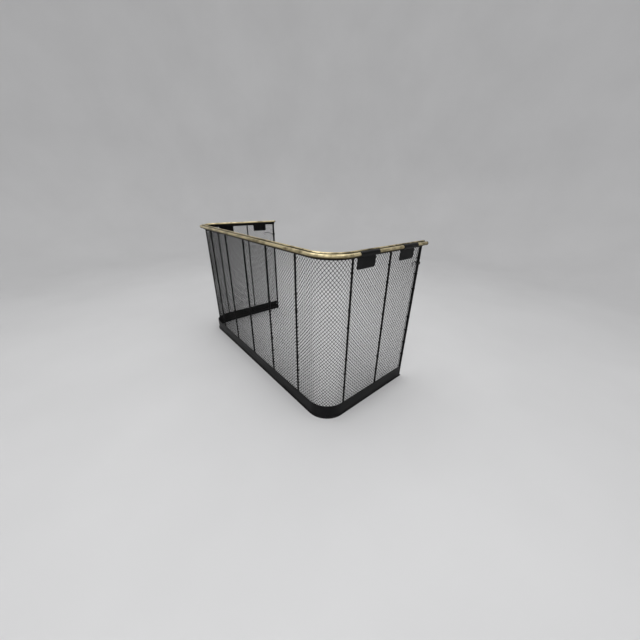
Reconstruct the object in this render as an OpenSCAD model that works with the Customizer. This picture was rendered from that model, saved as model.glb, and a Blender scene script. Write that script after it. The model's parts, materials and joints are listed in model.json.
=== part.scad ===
// Nursery fire guard: a U-shaped guard of iron rods and wire mesh with a double brass rail,
// a sheet-iron skirt, hinged plates on the outer rail and a wall hook on each end post.
// Millimetres, +Z up. The front faces -Y and the open back faces +Y. The floor is Z = 0.

/* [Guard] */
// Height from the floor to the top of the upper brass rail
guard_h = 686; // [560:1:900]
// Width between the centre lines of the two returns
guard_w = 1184; // [1100:2:1500]
// Depth from the centre line of the front to the end posts
guard_d = 516; // [480:1:640]
// Corner radius on the centre line of the frame
corner_r = 89; // [70:1:100]

/* [Frame bars] */
// Thickness of the two flat iron bars
bar_t = 8; // [6:0.5:9]
// Height of the top bar
top_bar_h = 15; // [12:0.5:20]
// Height of the base bar
base_bar_h = 16; // [12:0.5:20]
// How far the top bar runs past the end posts
top_bar_over = 7; // [6:0.5:8]

/* [Uprights] */
// Diameter of the round uprights
rod_d = 8; // [6:0.5:10]
// Diameter of the two end posts
post_d = 12; // [10:0.5:14]
// Spacing of the five front uprights
front_pitch = 206; // [160:1:215]
// First upright of each return, from the centre line of the front
first_return = 104; // [100:1:150]
// Diameter of the tenons that the uprights have at both ends
tenon_d = 4; // [3:0.25:5]
// Length of those tenons
tenon_l = 8; // [5:0.5:9]

/* [Brass rails] */
// Diameter of the upper rail, a split tube on the top bar's edge
upper_d = 13; // [11:0.5:15]
// Diameter of the outer rail
outer_d = 15; // [12:0.5:16]
// Wall of both brass tubes
brass_t = 1; // [0.6:0.1:1.5]
// How far the top bar reaches up into the split rail
bar_in = 3; // [2:0.5:4]
// Distance of the outer rail's centre outside the frame's centre line
outer_off = 15.5; // [15.5:0.5:20]
// Drop of the outer rail's centre below the upper rail's centre
outer_drop = 4.5; // [3:0.5:6]
// How far both rails run past the end posts
rail_over = 12; // [12:1:20]
// Length of the rims of the plugs that close the rails
plug_rim = 4; // [1:0.5:8]
// Height of the domes on those rims
plug_dome = 4; // [2:0.5:6]
// Diameter of the studs that carry the outer rail
stud_d = 4.5; // [3:0.5:5]

/* [Skirt] */
// Height of the sheet-iron skirt
skirt_h = 64; // [40:1:90]
// Thickness of the skirt
skirt_t = 1.5; // [1:0.1:2.5]
// Height of the half-round bead along the foot of the skirt
bead_h = 7; // [5:0.5:8]
// How far that bead stands out from the skirt
bead_w = 3.5; // [2:0.25:5]
// Diameter of the rivets that hold the skirt
rivet_d = 3; // [2:0.25:4]

/* [Mesh] */
// Diamonds of the net between two front uprights
net_count = 3; // [2:1:3]
// Thickness of the net
net_t = 2.4; // [1.5:0.1:3]
// Width of the net's wires
net_wire = 2.4; // [1.5:0.1:4]
// Height of the selvage along the top and the bottom of the net
selvage = 3; // [2:0.5:6]
// Diameter of the binding wire that ties the net to the uprights
tie_d = 1.2; // [0.8:0.1:1.6]
// Turns of that wire in each tie
tie_turns = 3; // [2:1:4]

/* [Hinged plates] */
// Width of each plate
plate_w = 95; // [60:1:120]
// Length of a plate from its hinge axis to its lower edge
plate_l = 54; // [40:1:70]
// Thickness of the plate's sheet
plate_t = 1.5; // [0.8:0.1:1.6]
// Radius of the plate's lower corners
plate_r = 8; // [2:0.5:15]
// Middle of the front plate of each return, from the centre line of the front
plate_1 = 166; // [160:1:185]
// Middle of the rear plate of each return
plate_2 = 408; // [385:1:415]
// Angle by which each plate leans in as it hangs
plate_lean = 2; // [0:1:7]
// Radial clearance of the plate's knuckle on the outer rail
knuckle_fit = 0.08; // [0.02:0.01:0.1]

/* [Wall hooks] */
// Diameter of the hook's wire
hook_d = 3.5; // [3:0.25:5]
// Drop of the hook's eye below the top of the upper rail
hook_drop = 94; // [86:1:140]
// Reach of the hook from the middle of its post to its tip
hook_reach = 68; // [60:1:90]
// Radius of the hook's bends
hook_bend = 6; // [5:0.5:8]
// Slope of the hook's neck
hook_slope = 35; // [20:1:45]
// Length of the sloping neck
neck_l = 18; // [10:1:24]
// Length of the straight tip that drops into a wall eye
tip_l = 9; // [6:0.5:14]
// Angle at which the hook stands off the mesh at rest, where its tip clears the foot bead
hook_rest = 12; // [11:1:20]
// Radial clearance of the hook's eye on its post
eye_fit = 0.08; // [0.02:0.01:0.1]
// Width and height of the collars above and below the eye
collar = 3; // [2:0.5:5]

/* [Hidden] */
$fn = 48;
iron = [0.10, 0.10, 0.11];
brass = [0.78, 0.64, 0.34];
wire = [0.16, 0.16, 0.17];

// Gap between a piece and the seat it only rests on
seat_gap = 0.3;
// Gap that keeps two fixed faces just apart
hair = 0.1;
// Length by which a cutter runs past what it cuts
past = 1;

half = guard_w / 2;
straight = half - corner_r;
arc_l = corner_r * PI / 2;
// Along the U, measured from the middle of the front to a point of a return
function run_of(y) = straight + arc_l + y - corner_r;
mid_return = (first_return + guard_d) / 2;

upper_z = guard_h - upper_d / 2;
outer_z = upper_z - outer_drop;
top_bar_top = guard_h - upper_d + bar_in;
top_bar_z = top_bar_top - top_bar_h;
rail_end = guard_d + rail_over;
// The stud's height keeps it below the lips of the split rail and inside the outer one
lip_z = upper_z - sqrt(pow(upper_d / 2, 2) - pow(bar_t / 2, 2));
stud_z = lip_z - stud_d / 2 - hair;

// The box round the whole guard is centred on the origin
front_y = -(outer_off + outer_d / 2);
back_y = rail_end + plug_rim + plug_dome;
mid_y = (front_y + back_y) / 2;

// Both faces of the rods and bars, which the skirt and the net lie on
frame_face = max(rod_d, bar_t) / 2;
net_face = frame_face + hair;
net_low = selvage;
net_high = lip_z - past;
net_mid = (net_low + net_high) / 2;
net_end = guard_d - sqrt(pow(post_d / 2, 2) - pow(net_face, 2)) - hair;
// Diagonal pitch of the diamonds
net_p = front_pitch / net_count;
net_rows = ceil((net_high - net_low) / net_p) + 1;
net_half_v = net_p / 2 - net_wire / sqrt(2);

knuckle_in = outer_d / 2 + knuckle_fit;
knuckle_r = knuckle_in + plate_t;

hook_z = guard_h - hook_drop;
// The eye's wire is a little thicker than the rest, where its end is closed against the root
eye_d = hook_d + seat_gap;
eye_r = post_d / 2 + eye_fit + eye_d / 2;
collar_z = eye_d / 2 + seat_gap;
// The net is cut away round the eye and its collars
notch = collar_z + collar + past;

// Places children at a distance along the U from the middle of the front. Local +X points
// out of the guard and local +Y runs along it, and a negative distance is on the left.
module at(run) {
    d = abs(run);
    mirror([run < 0 ? 1 : 0, 0, 0])
        if (d <= straight) {
            translate([d, 0, 0])
                rotate([0, 0, -90])
                    children();
        } else if (d <= straight + arc_l) {
            translate([straight, corner_r, 0])
                rotate([0, 0, (d - straight) / corner_r * 180 / PI - 90])
                    translate([corner_r, 0, 0])
                        children();
        } else {
            translate([half, corner_r + d - straight - arc_l, 0])
                children();
        }
}

// The whole guard is drawn from the front's centre line, and moved to the origin once
module placed() {
    translate([0, -mid_y, 0])
        children();
}

// Sweeps a profile round the U. The profile's X is the distance outside the centre line.
module round_the_u(over) {
    rotate([90, 0, -90])
        linear_extrude(2 * straight, center = true)
            children();
    for (side = [0, 1])
        mirror([side, 0, 0]) {
            translate([straight, corner_r, 0])
                rotate([0, 0, -90])
                    rotate_extrude(angle = 90, $fn = 96)
                        translate([corner_r, 0])
                            children();
            translate([half, guard_d + over, 0])
                rotate([90, 0, 0])
                    linear_extrude(guard_d + over - corner_r)
                        children();
        }
}

// Distances along the U of everything that repeats
upright_runs = concat(
    [for (i = [-2:2]) i * front_pitch],
    [for (side = [-1, 1], y = [first_return, mid_return]) side * run_of(y)]
);
post_runs = [-run_of(guard_d), run_of(guard_d)];
stud_runs = concat(
    [for (i = [-2:2]) i * front_pitch],
    [for (side = [-1, 1], y = [first_return, mid_return, guard_d + top_bar_over / 2]) side * run_of(y)]
);
rivet_runs = concat(
    [for (i = [-1.5:1.5]) i * front_pitch],
    [for (side = [-1, 1], run = [straight + arc_l / 2, run_of((first_return + mid_return) / 2),
        run_of((mid_return + guard_d) / 2)]) side * run]
);
rivet_z = (bead_h + base_bar_h) / 2;
rivet_l = bar_t / 2;
// Height of a rivet's head, a low part of a ball
rivet_head = 0.6 * rivet_d;

module tenon_holes(from_z) {
    for (run = concat(upright_runs, post_runs))
        at(run)
            translate([0, 0, from_z])
                cylinder(h = tenon_l + past, d = tenon_d + 2 * hair);
}

module top_bar() {
    color(iron)
        placed()
            difference() {
                round_the_u(top_bar_over)
                    translate([-bar_t / 2, top_bar_z])
                        square([bar_t, top_bar_h]);
                tenon_holes(top_bar_z - past);
                for (run = stud_runs)
                    at(run)
                        translate([0, 0, stud_z])
                            rotate([0, 90, 0])
                                cylinder(h = bar_t, d = stud_d + hair);
            }
}

module base_bar() {
    color(iron)
        placed()
            difference() {
                round_the_u(post_d / 2)
                    translate([-bar_t / 2, 0])
                        square([bar_t, base_bar_h]);
                tenon_holes(base_bar_h - tenon_l);
                for (run = rivet_runs)
                    at(run)
                        translate([frame_face - rivet_l, 0, rivet_z])
                            rotate([0, 90, 0])
                                cylinder(h = bar_t, d = rivet_d + hair);
            }
}

// A tube split along its underside, pushed down over the edge of the top bar
module upper_rail() {
    color(brass)
        placed()
            round_the_u(rail_over)
                translate([0, upper_z])
                    difference() {
                        circle(d = upper_d);
                        circle(d = upper_d - 2 * brass_t);
                        translate([-bar_t / 2, -upper_d])
                            square([bar_t, upper_d]);
                    }
}

module outer_rail() {
    color(brass)
        placed()
            difference() {
                round_the_u(rail_over)
                    translate([outer_off, outer_z])
                        difference() {
                            circle(d = outer_d);
                            circle(d = outer_d - 2 * brass_t);
                        }
                for (run = stud_runs)
                    at(run)
                        translate([0, 0, stud_z])
                            rotate([0, 90, 0])
                                cylinder(h = outer_off, d = stud_d + hair);
            }
}

// Round studs, riveted flush in the top bar, that reach into the outer rail's tube
module rail_studs() {
    color(iron)
        placed()
            for (run = stud_runs)
                at(run)
                    translate([hair, 0, stud_z])
                        rotate([0, 90, 0])
                            cylinder(h = outer_off - outer_d / 4, d = stud_d);
}

// A domed plug with a spigot in the end of a rail, drawn at the rail's end and facing +Y
module plug(rail_d) {
    cap_r = rail_d / 2;
    dome_r = (pow(cap_r, 2) + pow(plug_dome, 2)) / (2 * plug_dome);
    rotate([-90, 0, 0]) {
        rotate_extrude()
            intersection() {
                translate([0, plug_rim + plug_dome - dome_r])
                    circle(r = dome_r, $fn = 96);
                translate([0, plug_rim])
                    square([cap_r, plug_dome]);
            }
        cylinder(h = plug_rim, d = rail_d);
        translate([0, 0, -plug_spigot])
            cylinder(h = plug_spigot + hair, d = rail_d - 2 * brass_t - 2 * hair);
    }
}
plug_spigot = rail_over - top_bar_over - past;

module plug_upper(side) {
    color(iron)
        placed()
            mirror([side < 0 ? 1 : 0, 0, 0])
                translate([half, rail_end, upper_z])
                    plug(upper_d);
}

module plug_outer(side) {
    color(iron)
        placed()
            mirror([side < 0 ? 1 : 0, 0, 0])
                translate([half + outer_off, rail_end, outer_z])
                    plug(outer_d);
}

// Sheet iron bent round the outside of the base bar and the uprights
module skirt() {
    color(iron)
        placed()
            difference() {
                round_the_u(-post_d / 2)
                    translate([frame_face, 0])
                        square([skirt_t, skirt_h]);
                for (run = rivet_runs)
                    at(run)
                        translate([0, 0, rivet_z])
                            rotate([0, 90, 0])
                                cylinder(h = bar_t, d = rivet_d + hair);
            }
}

// A half-round bead along the foot of the skirt, flat on the floor
module foot_bead() {
    color(iron)
        placed()
            round_the_u(post_d / 2)
                translate([frame_face + skirt_t, 0]) {
                    square([bead_w, bead_h - bead_w]);
                    intersection() {
                        translate([0, bead_h - bead_w])
                            circle(r = bead_w);
                        square([bead_w, bead_h]);
                    }
                }
}

// A round bar between the base bar and the top bar, with a tenon at each end
module upright(run, d) {
    color(iron)
        placed()
            at(run) {
                translate([0, 0, base_bar_h])
                    cylinder(h = top_bar_z - base_bar_h, d = d);
                translate([0, 0, base_bar_h - tenon_l + hair])
                    cylinder(h = top_bar_z - base_bar_h + 2 * (tenon_l - hair), d = tenon_d);
            }
}

// Diamonds of the net that touch the stretch from one distance along the U to another,
// each as its distance along the U and its height
function diamonds(from, to) = [
    for (i = [floor(2 * from / net_p) - 1:ceil(2 * to / net_p) + 1], j = [-net_rows:net_rows])
        let (run = i * net_p / 2, z = net_mid + j * net_p / 2)
        if ((i + j) % 2 != 0 && run > from - net_p / 2 && run < to + net_p / 2
            && z > net_low - net_p / 2 + selvage && z < net_high + net_p / 2 - selvage)
            [run, z]
];

// A flat stretch of the net, drawn with its length along X and its height along Y
module flat_net(from, to) {
    difference() {
        translate([from, net_low])
            square([to - from, net_high - net_low]);
        for (c = diamonds(from, to))
            translate(c)
                polygon([[net_half_v, 0], [0, net_half_v], [-net_half_v, 0], [0, -net_half_v]]);
    }
    for (z = [net_low, net_high - selvage])
        translate([from, z])
            square([to - from, selvage]);
}

module mesh_front() {
    color(wire)
        placed()
            translate([0, net_face + net_t, 0])
                rotate([90, 0, 0])
                    linear_extrude(net_t)
                        flat_net(-straight, straight);
}

module mesh_return(side) {
    color(wire)
        placed()
            mirror([side < 0 ? 1 : 0, 0, 0])
                translate([half - net_face - net_t, corner_r - straight - arc_l, 0])
                    rotate([90, 0, 90])
                        linear_extrude(net_t)
                            notched_net(run_of(net_end));
}

// The net of one return. Its wires end in one that runs down its free end and round a notch,
// which clears the hook's eye.
module notched_net(to) {
    notch_from = run_of(guard_d) - eye_r - eye_d;
    difference() {
        union() {
            flat_net(straight + arc_l, to);
            translate([to - net_wire, net_low])
                square([net_wire, net_high - net_low]);
            translate([notch_from - net_wire, hook_z - notch - net_wire])
                square([to - notch_from + net_wire, 2 * (notch + net_wire)]);
        }
        translate([notch_from, hook_z - notch])
            square([to - notch_from + past, 2 * notch]);
    }
}

// The net round one corner: a bent band with diamonds cut through it. Each cutter reaches
// far enough inwards to pass through the band where that bends away at its tips.
module mesh_corner(side) {
    middle = net_face + net_t / 2;
    reach = net_t + pow(net_p, 2) / (4 * corner_r);
    color(wire)
        placed()
            mirror([side < 0 ? 1 : 0, 0, 0])
                difference() {
                    translate([straight, corner_r, net_low])
                        rotate([0, 0, -90])
                            linear_extrude(net_high - net_low)
                                polygon(concat(
                                    corner_points(corner_r - net_face, 0, corner_flats),
                                    corner_points(corner_r - net_face - net_t, corner_flats, 0)
                                ));
                    for (c = diamonds(straight, straight + arc_l))
                        at(c[0])
                            translate([-middle - reach, 0, 0])
                                rotate([0, 90, 0])
                                    linear_extrude(reach + net_t)
                                        corner_diamond(c, middle);
                }
}

// A woven net is straight between two crossings of its wires, so it turns in narrow flats
corner_flats = 12;
function corner_points(r, first, last) = [
    for (i = [first:(last > first ? 1 : -1):last])
        r * [cos(90 * i / corner_flats), sin(90 * i / corner_flats)]
];

// One diamond between the two selvages, with its height along -X. On the curve the net lies
// inside the centre line, so the diamonds are narrower there.
module corner_diamond(c, middle) {
    on_curve = c[0] > straight && c[0] < straight + arc_l;
    h = on_curve ? net_half_v * (corner_r - middle) / corner_r : net_half_v;
    intersection() {
        translate([-c[1], 0])
            polygon([[net_half_v, 0], [0, h], [-net_half_v, 0], [0, -h]]);
        translate([selvage - net_high, -net_p])
            square([net_high - net_low - 2 * selvage, 2 * net_p]);
    }
}

// Height of the middle of the wider opening that the net leaves beside an upright
function tie_phase(run) =
    let (pitches = abs(run) / net_p, part = pitches - floor(pitches))
    part < 0.25 || part >= 0.75 ? net_p / 2 : 0;

// A tie is a few turns of binding wire, side by side as one band. It passes round an upright
// and the net, whose far side is at a place that is seen from the upright's axis.
tie_h = tie_turns * tie_d;

module tie(d, far_side) {
    near = d / 2 + hair;
    far = norm(far_side) + hair;
    ring = (near + far) / 2;
    rotate([0, 0, atan2(far_side[1], far_side[0])])
        translate([(far - near) / 2, 0, 0])
            difference() {
                cylinder(h = tie_h, r = ring + tie_d, center = true);
                cylinder(h = tie_h + past, r = ring, center = true);
            }
}

net_back = -net_face - net_t;
// Rows of ties above and below the middle of the net
tie_rows = [-net_rows:net_rows];

module mesh_ties() {
    color(wire)
        placed() {
            for (run = upright_runs, j = tie_rows)
                let (z = net_mid + j * net_p + tie_phase(run))
                    if (z > skirt_h + tie_h && z < top_bar_z - tie_h)
                        at(run)
                            translate([0, 0, z])
                                tie(rod_d, [net_back, 0]);
            for (run = post_runs, j = tie_rows)
                let (z = net_mid + j * net_p + tie_phase(run))
                    if (z > skirt_h + tie_h && z < top_bar_z - tie_h
                        && abs(z - hook_z) > notch + net_wire + tie_h)
                        at(run)
                            translate([0, 0, z])
                                tie(post_d, [net_back, net_end - net_wire - guard_d]);
        }
}

module skirt_rivets() {
    color(iron)
        placed()
            for (run = rivet_runs)
                at(run)
                    translate([0, 0, rivet_z])
                        rotate([0, 90, 0]) {
                            translate([0, 0, frame_face - rivet_l + hair])
                                cylinder(h = rivet_l + skirt_t, d = rivet_d);
                            translate([0, 0, frame_face + skirt_t])
                                rotate_extrude()
                                    intersection() {
                                        circle(d = 2 * rivet_d);
                                        square([rivet_d, rivet_head]);
                                    }
                        }
}

// A sheet plate rolled round the outer rail, which hangs close to the top bar
module plate(side, y) {
    color(iron)
        placed()
            at(side * run_of(y))
                translate([outer_off, 0, outer_z])
                    rotate([0, plate_lean, 0])
                        difference() {
                            union() {
                                rotate([90, 0, 0])
                                    cylinder(h = plate_w, r = knuckle_r, center = true);
                                translate([-knuckle_r, 0, 0])
                                    rotate([90, 0, 90])
                                        linear_extrude(plate_t)
                                            leaf_outline();
                            }
                            rotate([90, 0, 0])
                                cylinder(h = plate_w + 2 * past, r = knuckle_in, center = true);
                        }
}

module leaf_outline() {
    translate([-plate_w / 2, plate_r - plate_l])
        square([plate_w, plate_l - plate_r]);
    translate([plate_r - plate_w / 2, -plate_l])
        square([plate_w - 2 * plate_r, plate_r]);
    for (side = [-1, 1])
        translate([side * (plate_w / 2 - plate_r), plate_r - plate_l])
            circle(r = plate_r);
}

// One straight stretch of wire along +Z, with children at its far end
module stretch(l) {
    cylinder(h = l, d = hook_d);
    translate([0, 0, l])
        children();
}

// One bend of the wire: a positive angle turns it from +Z towards +X
module bend(angle) {
    flip = angle < 0 ? 1 : 0;
    mirror([flip, 0, 0])
        translate([hook_bend, 0, 0]) {
            rotate([90, 0, 180])
                rotate_extrude(angle = abs(angle))
                    translate([hook_bend, 0])
                        circle(d = hook_d - bend_step);
            rotate([0, abs(angle), 0])
                translate([-hook_bend, 0, 0])
                    mirror([flip, 0, 0])
                        children();
        }
}

// The bends are this much thinner than the straight stretches, as wire is after bending
bend_step = 0.04;
// Length of the hook's level stretch, so that its tip is at the stated reach
hook_root = 6;
hook_level = hook_reach - eye_r - hook_root - neck_l * cos(hook_slope)
    - 2 * hook_bend * sin(hook_slope) - hook_bend;

// A wire hook that swings on the end post, with its eye between two collars
module hook(side) {
    color(iron)
        placed()
            at(side * run_of(guard_d))
                translate([0, 0, hook_z])
                    rotate([0, 0, hook_rest]) {
                        rotate_extrude(convexity = 2)
                            translate([eye_r, 0])
                                circle(d = eye_d);
                        translate([0, -eye_r, 0])
                            rotate([90, -90, 0])
                                stretch(hook_root)
                                    bend(hook_slope)
                                        stretch(neck_l)
                                            bend(-hook_slope)
                                                stretch(hook_level)
                                                    bend(-90)
                                                        stretch(tip_l)
                                                            sphere(d = hook_d);
                    }
}

module hook_collars() {
    color(iron)
        placed()
            for (run = post_runs, z = [hook_z - collar_z - collar, hook_z + collar_z])
                at(run)
                    translate([0, 0, z])
                        difference() {
                            cylinder(h = collar, r = post_d / 2 + collar);
                            translate([0, 0, -past])
                                cylinder(h = collar + 2 * past, r = post_d / 2 + hair / 2);
                        }
}

top_bar();
base_bar();
upper_rail();
outer_rail();
plug_upper(-1);  // plug_upper_left
plug_upper(1);  // plug_upper_right
plug_outer(-1);  // plug_outer_left
plug_outer(1);  // plug_outer_right
skirt();
foot_bead();
upright(-2 * front_pitch, rod_d);  // front_upright_1
upright(-front_pitch, rod_d);  // front_upright_2
upright(0, rod_d);  // front_upright_3
upright(front_pitch, rod_d);  // front_upright_4
upright(2 * front_pitch, rod_d);  // front_upright_5
upright(-run_of(first_return), rod_d);  // left_upright_1
upright(-run_of(mid_return), rod_d);  // left_upright_2
upright(run_of(first_return), rod_d);  // right_upright_1
upright(run_of(mid_return), rod_d);  // right_upright_2
upright(-run_of(guard_d), post_d);  // end_post_left
upright(run_of(guard_d), post_d);  // end_post_right
mesh_front();
mesh_corner(-1);  // mesh_corner_left
mesh_corner(1);  // mesh_corner_right
mesh_return(-1);  // mesh_left
mesh_return(1);  // mesh_right
mesh_ties();
rail_studs();
skirt_rivets();
plate(-1, plate_1);  // plate_left_front
plate(-1, plate_2);  // plate_left_rear
plate(1, plate_1);  // plate_right_front
plate(1, plate_2);  // plate_right_rear
hook(-1);  // hook_left
hook(1);  // hook_right
hook_collars();
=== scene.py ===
"""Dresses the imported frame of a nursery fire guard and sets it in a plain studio.

The net is woven wire by wire, the ties are wound, the brass rails, the skirt and the hinged
plates are drawn as formed sheet, and the ironwork of the frame gets its finishes.
Metres, +Z up. The guard's front faces -Y and its open back faces +Y.
"""

import json
import math
import random

import bpy
from bpy.props import FloatProperty, FloatVectorProperty, IntProperty, PointerProperty
from bpy.types import Operator, Panel, PropertyGroup
from mathutils import Matrix, Vector, noise


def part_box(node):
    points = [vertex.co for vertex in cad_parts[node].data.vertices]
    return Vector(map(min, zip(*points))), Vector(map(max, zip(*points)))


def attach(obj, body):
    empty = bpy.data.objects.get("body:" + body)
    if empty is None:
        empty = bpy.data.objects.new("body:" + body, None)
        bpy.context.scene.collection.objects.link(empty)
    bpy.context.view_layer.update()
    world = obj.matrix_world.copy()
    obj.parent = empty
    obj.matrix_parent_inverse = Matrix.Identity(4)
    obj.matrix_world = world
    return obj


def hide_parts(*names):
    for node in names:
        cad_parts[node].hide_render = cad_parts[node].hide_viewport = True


bl_info = {
    "name": "Nursery Fire Guard",
    "version": (1, 0, 0),
    "blender": (4, 5, 0),
    "location": "View3D > Sidebar > Fire Guard",
    "description": "Weaves, dresses and finishes a wrap-round fire guard on its packed frame",
    "category": "Add Mesh",
}

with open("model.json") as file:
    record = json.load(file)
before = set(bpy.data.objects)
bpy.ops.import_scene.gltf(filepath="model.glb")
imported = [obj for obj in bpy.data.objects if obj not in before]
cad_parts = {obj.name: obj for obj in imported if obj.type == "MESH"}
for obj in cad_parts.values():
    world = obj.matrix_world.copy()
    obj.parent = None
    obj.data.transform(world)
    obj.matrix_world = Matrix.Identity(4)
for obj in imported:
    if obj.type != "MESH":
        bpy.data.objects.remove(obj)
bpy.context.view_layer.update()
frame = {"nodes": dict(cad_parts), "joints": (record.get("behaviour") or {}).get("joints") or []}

# The guard's plan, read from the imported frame
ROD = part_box("front_upright_3")
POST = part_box("end_post_right")
FRONT_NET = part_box("mesh_front")
SIDE_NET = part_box("mesh_right")
TOP_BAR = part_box("top_bar")
UPPER_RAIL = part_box("upper_rail")
OUTER_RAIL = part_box("outer_rail")
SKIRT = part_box("skirt")
FOOT_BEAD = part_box("foot_bead")
HOOK_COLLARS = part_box("hook_collars")
FRONT_Y = (ROD[0].y + ROD[1].y) / 2
SIDE_X = (POST[0].x + POST[1].x) / 2
END_Y = (POST[0].y + POST[1].y) / 2
STRAIGHT = FRONT_NET[1].x
CORNER_Y = SIDE_NET[0].y
CORNER_R = SIDE_X - STRAIGHT
ROD_R = (ROD[1].x - ROD[0].x) / 2
POST_R = (POST[1].x - POST[0].x) / 2
NET_LOW = FRONT_NET[0].z
NET_HIGH = FRONT_NET[1].z
NET_MID = (NET_LOW + NET_HIGH) / 2
NET_OUT = FRONT_Y - (FRONT_NET[0].y + FRONT_NET[1].y) / 2
NET_T = FRONT_NET[1].y - FRONT_NET[0].y
BAR_T = 2 * (TOP_BAR[1].x - SIDE_X)


class Course:
    """A line that follows the U at a set distance outside its centre line. A run along it is
    counted from the middle of the front, and is negative on the left."""

    def __init__(self, out=0.0):
        self.out = out
        self.radius = CORNER_R + out
        self.arc = self.radius * math.pi / 2

    def run_of(self, y):
        """The run of a point of the right return, from its place along +Y."""
        return STRAIGHT + self.arc + y - CORNER_Y

    def at(self, run):
        """The point at a run, and the direction out of the guard there."""
        side = -1 if run < 0 else 1
        d = abs(run)
        if d <= STRAIGHT:
            point = (d, FRONT_Y - self.out)
            out = (0, -1)
        elif d <= STRAIGHT + self.arc:
            turn = (d - STRAIGHT) / self.radius
            out = (math.sin(turn), -math.cos(turn))
            point = (STRAIGHT + self.radius * out[0], CORNER_Y + self.radius * out[1])
        else:
            point = (SIDE_X + self.out, CORNER_Y + d - STRAIGHT - self.arc)
            out = (1, 0)
        return Vector((side * point[0], point[1], 0)), Vector((side * out[0], out[1], 0))

    def steps(self, first, last, straight_step, corner_step):
        """Runs from first to last, closer together on the corners."""
        marks = [-STRAIGHT - self.arc, -STRAIGHT, STRAIGHT, STRAIGHT + self.arc]
        stops = [first, *[m for m in marks if first < m < last], last]
        runs = [first]
        for a, b in zip(stops, stops[1:]):
            middle = abs((a + b) / 2)
            on_corner = STRAIGHT < middle < STRAIGHT + self.arc
            count = max(1, math.ceil((b - a) / (corner_step if on_corner else straight_step)))
            runs += [a + (b - a) * (i + 1) / count for i in range(count)]
        return runs


# The crimped wires lie against the rods, this far inside the middle of the frame's net
NET_INSET = 0.0006
CENTRE = Course()
NET = Course(NET_OUT - NET_INSET)

# Diamonds of the net along the straight of the front
FRONT_DIAMONDS = 73

# The name of the map that holds each swept point's run and its place round the section
GRAIN = "grain"


def along(out):
    """The direction of a growing run, from the direction out of the guard."""
    return Vector((-out.y, out.x, 0))


def arc(middle, radius, start, turn, count):
    """Points of part of a circle, from the angle start on through turn, in count steps."""
    angles = [start + turn * i / count for i in range(count + 1)]
    return [(middle[0] + radius * math.cos(a), middle[1] + radius * math.sin(a)) for a in angles]


def formed(name, points, faces, material):
    """A smooth object of the scene, made of points and faces."""
    mesh = bpy.data.meshes.new(name)
    mesh.from_pydata(points, [], faces)
    mesh.polygons.foreach_set("use_smooth", [True] * len(mesh.polygons))
    mesh.materials.append(material)
    made = bpy.data.objects.new(name, mesh)
    bpy.context.scene.collection.objects.link(made)
    return made


class Stock:
    """Points and faces that become one piece."""

    def __init__(self):
        self.points = []
        self.faces = []
        self.marks = []

    def ring(self, points, marks=None):
        """Adds a ring of points and gives the number of its first one."""
        first = len(self.points)
        self.points += [tuple(p) for p in points]
        self.marks += marks or [(0.0, 0.0)] * len(points)
        return first

    def join(self, a, b, count):
        """Joins two rings of the same count with quads."""
        for i in range(count):
            j = (i + 1) % count
            self.faces.append((a + i, a + j, b + j, b + i))

    def cap(self, first, count, reverse=False):
        """Closes a ring."""
        face = tuple(range(first, first + count))
        self.faces.append(face[::-1] if reverse else face)

    def skin(self, rings, count):
        """Joins rings in turn, and closes the first and the last."""
        for a, b in zip(rings, rings[1:]):
            self.join(a, b, count)
        self.cap(rings[0], count, reverse=True)
        self.cap(rings[-1], count)

    def piece(self, name, material, slot, body, replaced, smooth=35.0):
        """Makes the piece, shades it, and lets it ride on a body of the frame."""
        made = formed(name, self.points, self.faces, material)
        layer = made.data.uv_layers.new(name=GRAIN)
        for loop in made.data.loops:
            layer.data[loop.index].uv = self.marks[loop.vertex_index]
        if smooth < 180:
            made.data.set_sharp_from_angle(angle=math.radians(smooth))
        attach(made, body)
        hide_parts(*replaced)


def tube(stock, path, radius, sides):
    """Adds a round wire with closed ends along a path of points."""
    turns = [2 * math.pi * k / sides for k in range(sides)]
    normal = None
    rings = []
    for i, p in enumerate(path):
        ahead = path[min(i + 1, len(path) - 1)] - path[max(i - 1, 0)]
        ahead.normalize()
        if normal is None:
            normal = ahead.orthogonal().normalized()
        normal = (normal - ahead * normal.dot(ahead)).normalized()
        across = ahead.cross(normal)
        rings.append(stock.ring([
            p + radius * (math.cos(t) * normal + math.sin(t) * across) for t in turns
        ]))
    stock.skin(rings, sides)


def sweep(box, section, straight_step, corner_step):
    """Sweeps a closed section round the U, as far back as a node's box, and gives the Stock.
    section(run) gives (out, z) points."""
    end = CENTRE.run_of(box[1].y)
    stock = Stock()
    rings = []
    for run in CENTRE.steps(-end, end, straight_step, corner_step):
        centre, out = CENTRE.at(run)
        shape = section(run)
        length = 0.0
        marks = []
        for i, (u, z) in enumerate(shape):
            if i:
                length += math.dist(shape[i - 1], (u, z))
            marks.append((run, length))
        points = [centre + u * out + Vector((0, 0, z)) for u, z in shape]
        rings.append(stock.ring(points, marks))
    stock.skin(rings, len(shape))
    return stock


# Finishes


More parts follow.
